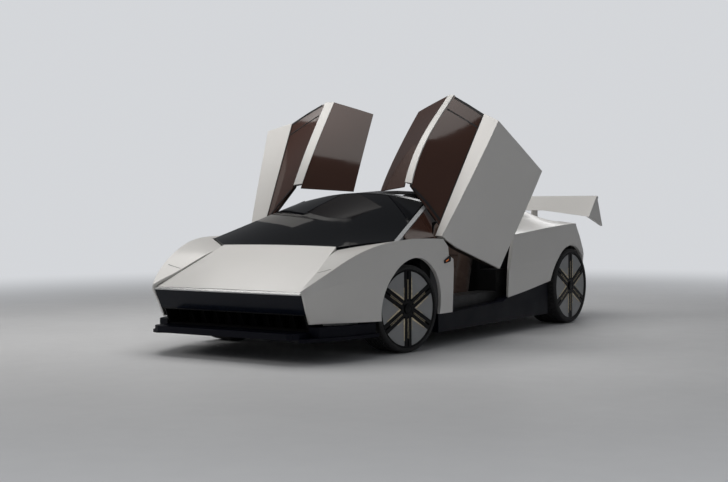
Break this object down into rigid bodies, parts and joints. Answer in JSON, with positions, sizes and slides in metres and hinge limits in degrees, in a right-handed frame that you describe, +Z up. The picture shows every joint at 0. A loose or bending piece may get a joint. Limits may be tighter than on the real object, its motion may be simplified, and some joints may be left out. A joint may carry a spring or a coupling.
{
  "type": "concept sports car",
  "caption": "Low wedge-shaped two-seat sports car with butterfly doors, opening front and engine lids, a rear wing, steering and rolling wheels.",
  "frame": {"origin": "on the floor, under the middle of the car's length and width", "axes": "+Y towards the tail, +X to the car's own left, +Z up"},
  "size_m": [2.899, 4.76, 2.0697],
  "materials": {
    "body_white": "satin warm white paint",
    "tyre_rubber": "matt black rubber",
    "rim_black": "satin black paint",
    "cover_grey": "satin light grey paint",
    "tinted_glass": "bronze tint",
    "dark_glass": "dark gloss tint",
    "cabin_trim": "brown soft trim",
    "seat_fabric": "brown woven cloth",
    "navy_trim": "dark navy gloss",
    "gloss_band": "deep navy gloss",
    "bright_lip": "brushed bright",
    "pillar_grey": "satin light grey paint",
    "tub_composite": "dark composite",
    "black_plastic": "moulded black",
    "forged_alloy": "forged, machined faces",
    "cast_block": "as cast",
    "lamp_red": "clear red",
    "camera_shell": "orange marker on dark pod",
    "wheel_leather": "dark smooth leather"
  },
  "bodies": {
    "chassis": {"arch_liners": "black_plastic", "console": "cabin_trim", "dashboard": "cabin_trim", "diffuser": "navy_trim", "front_fender_left": "body_white", "front_fender_right": "body_white", "front_intake": "black_plastic", "luggage_tub": "tub_composite", "nose_band": "gloss_band", "nose_lip": "bright_lip", "power_unit": "cast_block", "quarter_lights": "tinted_glass", "rear_fascia": "body_white", "rear_lamp": "lamp_red", "rear_quarter_left": "body_white", "rear_quarter_right": "body_white", "rear_wing": "body_white", "roof_frame": "pillar_grey", "seat_backs": "seat_fabric", "seat_cushions": "seat_fabric", "side_cameras": "camera_shell", "sills": "navy_trim", "splitter": "navy_trim", "suspension_front": "forged_alloy", "suspension_rear": "forged_alloy", "tub": "tub_composite", "windscreen": "dark_glass"},
    "door_left": {"door_frame_left": "cabin_trim", "door_glazing_left": "tinted_glass", "door_skin_left": "body_white"},
    "door_right": {"door_frame_right": "cabin_trim", "door_glazing_right": "tinted_glass", "door_skin_right": "body_white"},
    "engine_cover": {"engine_cover": "body_white"},
    "front_lid": {"front_lid": "body_white"},
    "knuckle_left": {"knuckle_left": "forged_alloy"},
    "knuckle_right": {"knuckle_right": "forged_alloy"},
    "wheel_front_left": {"rim_front_left": "rim_black", "tyre_front_left": "tyre_rubber", "wheel_cover_front_left": "cover_grey"},
    "wheel_front_right": {"rim_front_right": "rim_black", "tyre_front_right": "tyre_rubber", "wheel_cover_front_right": "cover_grey"},
    "wheel_rear_left": {"rim_rear_left": "rim_black", "tyre_rear_left": "tyre_rubber", "wheel_cover_rear_left": "cover_grey"},
    "wheel_rear_right": {"rim_rear_right": "rim_black", "tyre_rear_right": "tyre_rubber", "wheel_cover_rear_right": "cover_grey"},
    "steering_wheel": {"steering_wheel": "wheel_leather"}
  },
  "joints": [
    {"name": "door_left_hinge", "type": "hinge", "parent": "chassis", "child": "door_left", "pos_m": [0.85, -0.725, 0.844], "axis": [0.8281, -0.351, -0.4371], "range_deg": [-66, 0]},
    {"name": "door_right_hinge", "type": "hinge", "parent": "chassis", "child": "door_right", "pos_m": [-0.85, -0.725, 0.844], "axis": [0.8281, 0.351, 0.4371], "range_deg": [-66, 0]},
    {"name": "front_lid_hinge", "type": "hinge", "parent": "chassis", "child": "front_lid", "pos_m": [0, -1.669, 0.838], "axis": [-1, 0, 0], "range_deg": [0, 55]},
    {"name": "engine_cover_hinge", "type": "hinge", "parent": "chassis", "child": "engine_cover", "pos_m": [0, 0.646, 1.22], "axis": [1, 0, 0], "range_deg": [0, 45]},
    {"name": "steer_left", "type": "hinge", "parent": "chassis", "child": "knuckle_left", "pos_m": [0.8, -1.255, 0.34], "axis": [0, 0, 1], "range_deg": [-22, 42]},
    {"name": "steer_right", "type": "hinge", "parent": "chassis", "child": "knuckle_right", "pos_m": [-0.8, -1.255, 0.34], "axis": [0, 0, 1], "range_deg": [-22, 42]},
    {"name": "steering_wheel_turn", "type": "hinge", "parent": "chassis", "child": "steering_wheel", "pos_m": [0.37, -0.508, 0.684], "axis": [0, 0.9272, 0.3746], "range_deg": [-110, 210]},
    {"name": "wheel_front_left_roll", "type": "hinge", "parent": "knuckle_left", "child": "wheel_front_left", "pos_m": [0.84284, -1.26255, 0.34], "axis": [0.9848, -0.1736, 0], "continuous": true},
    {"name": "wheel_front_right_roll", "type": "hinge", "parent": "knuckle_right", "child": "wheel_front_right", "pos_m": [-0.84284, -1.24745, 0.34], "axis": [0.9848, -0.1736, 0], "continuous": true},
    {"name": "wheel_rear_left_roll", "type": "hinge", "parent": "chassis", "child": "wheel_rear_left", "pos_m": [0.8595, 1.505, 0.352], "axis": [1, 0, 0], "continuous": true},
    {"name": "wheel_rear_right_roll", "type": "hinge", "parent": "chassis", "child": "wheel_rear_right", "pos_m": [-0.8595, 1.505, 0.352], "axis": [1, 0, 0], "continuous": true}
  ],
  "couplings": [
    {"joint": "steer_right", "follows": "steer_left", "ratio": 1},
    {"joint": "steering_wheel_turn", "follows": "steer_left", "ratio": 5}
  ]
}
